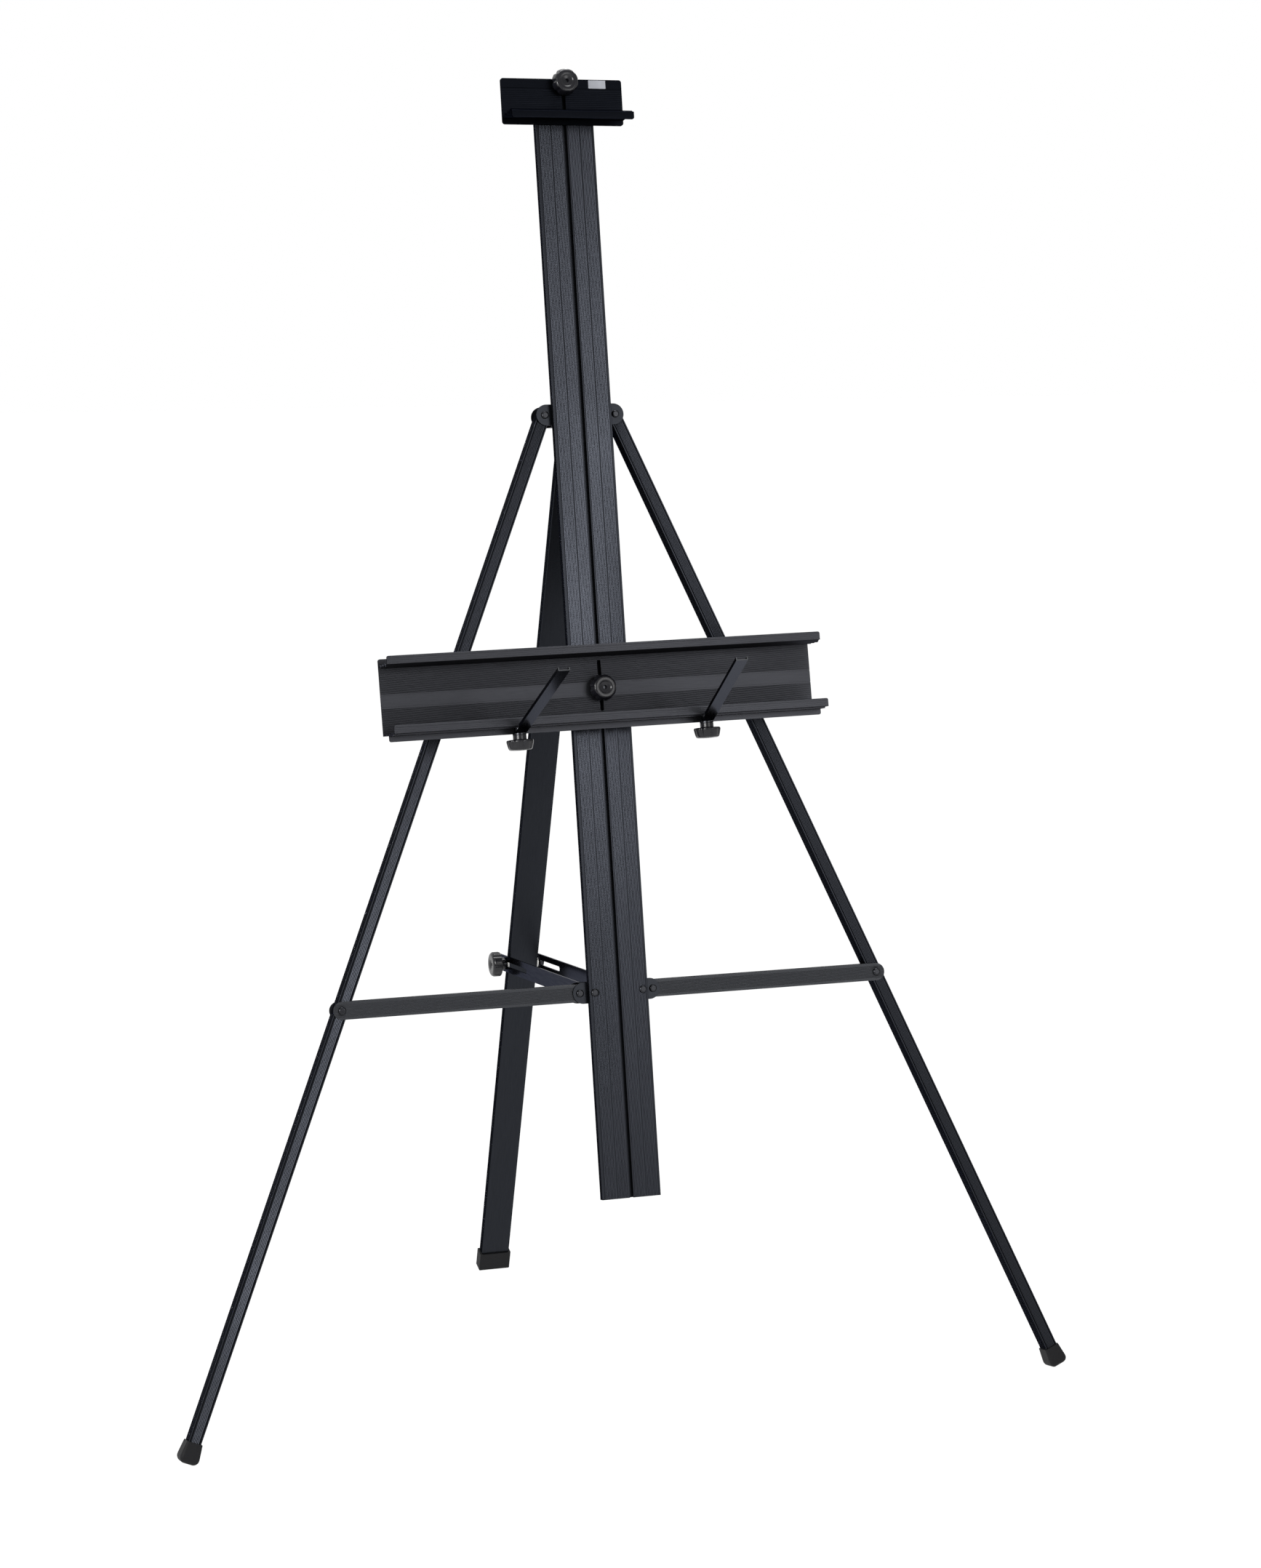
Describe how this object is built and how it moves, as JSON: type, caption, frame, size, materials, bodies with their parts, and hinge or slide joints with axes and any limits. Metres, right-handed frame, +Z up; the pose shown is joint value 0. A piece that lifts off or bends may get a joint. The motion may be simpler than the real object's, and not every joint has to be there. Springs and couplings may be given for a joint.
{
  "type": "studio easel",
  "caption": "Folding aluminium studio easel with a slotted mast, sliding canvas tray and top clamp, swivelling support arms and three rubber-footed legs.",
  "frame": {"origin": "on the floor, under the middle of the box", "axes": "+Z up; the easel's front, where the painter stands, faces -Y; +X is to the right as seen from the front"},
  "size_m": [1.1598, 0.7698, 1.6603],
  "materials": {
    "mast_metal": "satin anodised",
    "tray_metal": "satin anodised",
    "clamp_metal": "satin anodised",
    "leg_metal": "satin anodised",
    "crossbar_metal": "satin anodised",
    "rear_leg_metal": "satin anodised",
    "bar_metal": "bright",
    "bracket_metal": "satin",
    "fittings": "satin",
    "knob_plastic": "semi-gloss",
    "rubber": "matt",
    "nylon": "matt",
    "label": "matt"
  },
  "bodies": {
    "mast": {"mast": "mast_metal", "lower_bracket": "bracket_metal", "mast_rivet_left": "fittings", "mast_rivet_right": "fittings", "crossbar_pivot_left": "fittings", "crossbar_pivot_right": "fittings", "strut_pivot_left": "fittings", "strut_pivot_right": "fittings"},
    "head": {"head_bracket": "bracket_metal", "head_front_rivet_left": "fittings", "head_front_rivet_right": "fittings", "head_back_rivet_left": "fittings", "head_back_rivet_right": "fittings", "rear_hinge_rivet_left": "fittings", "rear_hinge_rivet_right": "fittings", "head_shoe_left": "nylon", "head_shoe_right": "nylon", "head_screw_left": "fittings", "head_screw_right": "fittings"},
    "crossbar_left": {"crossbar_left": "crossbar_metal", "crossbar_rivet_left": "fittings"},
    "crossbar_right": {"crossbar_right": "crossbar_metal", "crossbar_rivet_right": "fittings"},
    "leg_left": {"leg_left": "leg_metal", "leg_foot_left": "rubber"},
    "leg_right": {"leg_right": "leg_metal", "leg_foot_right": "rubber"},
    "strut": {"strut_bar_left": "bar_metal", "strut_bar_right": "bar_metal"},
    "strut_clamp": {"strut_bolt": "fittings"},
    "strut_knob": {"strut_knob": "knob_plastic"},
    "rear_leg": {"rear_leg": "rear_leg_metal", "rear_foot": "rubber", "strut_spacer_left": "nylon", "strut_spacer_right": "nylon"},
    "tray": {"tray_panel": "tray_metal", "tray_top_ledge": "tray_metal", "tray_bottom_ledge": "tray_metal", "tray_bolt": "fittings", "tray_washer": "fittings", "arm_bolt_left": "fittings", "arm_bolt_right": "fittings", "arm_washer_left": "fittings", "arm_washer_right": "fittings", "arm_spacer_left": "fittings", "arm_spacer_right": "fittings"},
    "tray_knob": {"tray_knob": "knob_plastic"},
    "arm_left": {"arm_left": "bar_metal"},
    "arm_right": {"arm_right": "bar_metal"},
    "arm_knob_left": {"arm_knob_left": "knob_plastic"},
    "arm_knob_right": {"arm_knob_right": "knob_plastic"},
    "clamp": {"clamp_plate": "clamp_metal", "clamp_label": "label", "clamp_bolt": "fittings", "clamp_washer": "fittings"},
    "clamp_knob": {"clamp_knob": "knob_plastic"}
  },
  "joints": [
    {"name": "head_slide", "type": "slide", "parent": "mast", "child": "head", "axis": [0, 0.1874, 0.9823], "range_m": [0, 0.3628]},
    {"name": "crossbar_right_swing", "type": "hinge", "parent": "mast", "child": "crossbar_right", "pos_m": [0.0478, -0.18901, 0.51931], "axis": [0, -0.9823, 0.1874], "range_deg": [0, 86.1]},
    {"name": "crossbar_left_swing", "type": "hinge", "parent": "mast", "child": "crossbar_left", "pos_m": [-0.0478, -0.18901, 0.51931], "axis": [0, -0.9823, 0.1874], "range_deg": [-86.1, 0]},
    {"name": "leg_right_swing", "type": "hinge", "parent": "crossbar_right", "child": "leg_right", "pos_m": [0.3503, -0.18901, 0.51931], "axis": [0, -0.9823, 0.1874], "range_deg": [-107.26, 0]},
    {"name": "leg_left_swing", "type": "hinge", "parent": "crossbar_left", "child": "leg_left", "pos_m": [-0.3503, -0.18901, 0.51931], "axis": [0, -0.9823, 0.1874], "range_deg": [0, 107.26]},
    {"name": "strut_swing", "type": "hinge", "parent": "mast", "child": "strut", "pos_m": [0, -0.1651, 0.51068], "axis": [1, 0, 0], "range_deg": [0, 82.22]},
    {"name": "strut_bolt_slide", "type": "slide", "parent": "strut", "child": "strut_clamp", "axis": [0, -0.996, 0.089], "range_m": [0, 0.08207]},
    {"name": "rear_leg_swing", "type": "hinge", "parent": "strut_clamp", "child": "rear_leg", "pos_m": [0, 0.21445, 0.47677], "axis": [1, 0, 0], "range_deg": [-110.72, 0]},
    {"name": "strut_knob_turn", "type": "hinge", "parent": "strut_clamp", "child": "strut_knob", "pos_m": [0, 0.21445, 0.47677], "axis": [-1, 0, 0], "range_deg": [0, 360]},
    {"name": "tray_slide", "type": "slide", "parent": "mast", "child": "tray", "axis": [0, 0.1874, 0.9823], "range_m": [-0.29, 0.33]},
    {"name": "tray_knob_turn", "type": "hinge", "parent": "tray", "child": "tray_knob", "pos_m": [0, -0.14071, 0.89471], "axis": [0, -0.9823, 0.1874], "range_deg": [0, 360]},
    {"name": "arm_left_swivel", "type": "hinge", "parent": "tray", "child": "arm_left", "pos_m": [-0.12091, -0.19236, 0.85874], "axis": [-0.0157, 0.1874, 0.9822], "range_deg": [-35, 35]},
    {"name": "arm_right_swivel", "type": "hinge", "parent": "tray", "child": "arm_right", "pos_m": [0.12226, -0.19165, 0.8625], "axis": [-0.0157, 0.1874, 0.9822], "range_deg": [-29, 41]},
    {"name": "arm_knob_left_turn", "type": "hinge", "parent": "tray", "child": "arm_knob_left", "pos_m": [-0.12091, -0.19236, 0.85874], "axis": [-0.0157, 0.1874, 0.9822], "range_deg": [0, 360]},
    {"name": "arm_knob_right_turn", "type": "hinge", "parent": "tray", "child": "arm_knob_right", "pos_m": [0.12226, -0.19165, 0.8625], "axis": [-0.0157, 0.1874, 0.9822], "range_deg": [0, 360]},
    {"name": "clamp_slide", "type": "slide", "parent": "mast", "child": "clamp", "axis": [0, 0.1874, 0.9823], "range_m": [-0.3, 0]},
    {"name": "clamp_knob_turn", "type": "hinge", "parent": "clamp", "child": "clamp_knob", "pos_m": [0, 0.00155, 1.64046], "axis": [0, -0.9823, 0.1874], "range_deg": [0, 360]}
  ],
  "couplings": [
    {"joint": "crossbar_right_swing", "follows": "head_slide", "rad_per_m": 4.1372},
    {"joint": "crossbar_left_swing", "follows": "head_slide", "rad_per_m": -4.1372},
    {"joint": "leg_right_swing", "follows": "head_slide", "rad_per_m": -5.1551},
    {"joint": "leg_left_swing", "follows": "head_slide", "rad_per_m": 5.1551},
    {"joint": "strut_swing", "follows": "head_slide", "rad_per_m": 3.9504},
    {"joint": "strut_bolt_slide", "follows": "head_slide", "ratio": 0.22567},
    {"joint": "rear_leg_swing", "follows": "head_slide", "rad_per_m": -5.3214}
  ]
}
